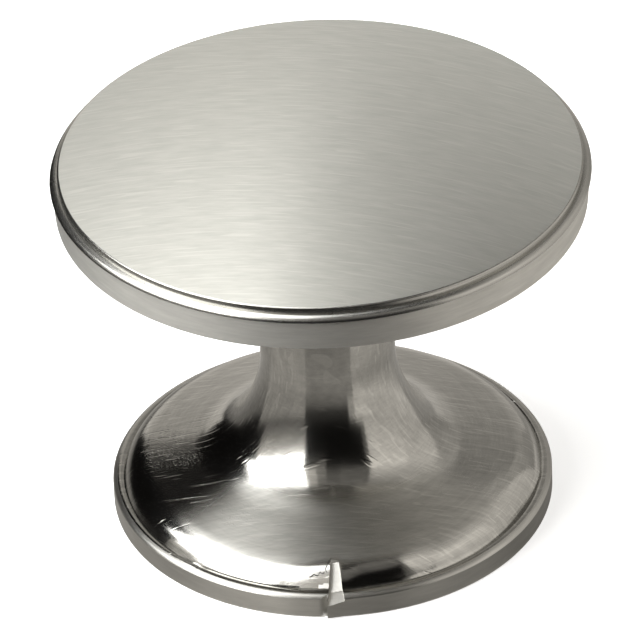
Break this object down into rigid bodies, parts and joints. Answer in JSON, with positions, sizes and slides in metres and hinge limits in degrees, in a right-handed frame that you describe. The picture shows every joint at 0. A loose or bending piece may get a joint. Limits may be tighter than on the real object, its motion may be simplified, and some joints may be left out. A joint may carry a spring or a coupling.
{
  "type": "cabinet knob",
  "caption": "Round cast cabinet knob with a gently domed face, beaded rim, waisted neck and flared base, held from behind by a screw in its tapped hole.",
  "frame": {"origin": "centre of the mounting face, in the plane of the foot ring that bears on the door", "axes": "+Z along the axis of the knob, away from the door to the crown of the face; -Y is the side turned to the camera in the picture"},
  "size_m": [0.032, 0.032, 0.025],
  "materials": {
    "brushed_nickel": "brushed satin nickel plate with a clear lacquer, polished on the beads"
  },
  "bodies": {
    "root": {"knob": "brushed_nickel"}
  },
  "joints": []
}
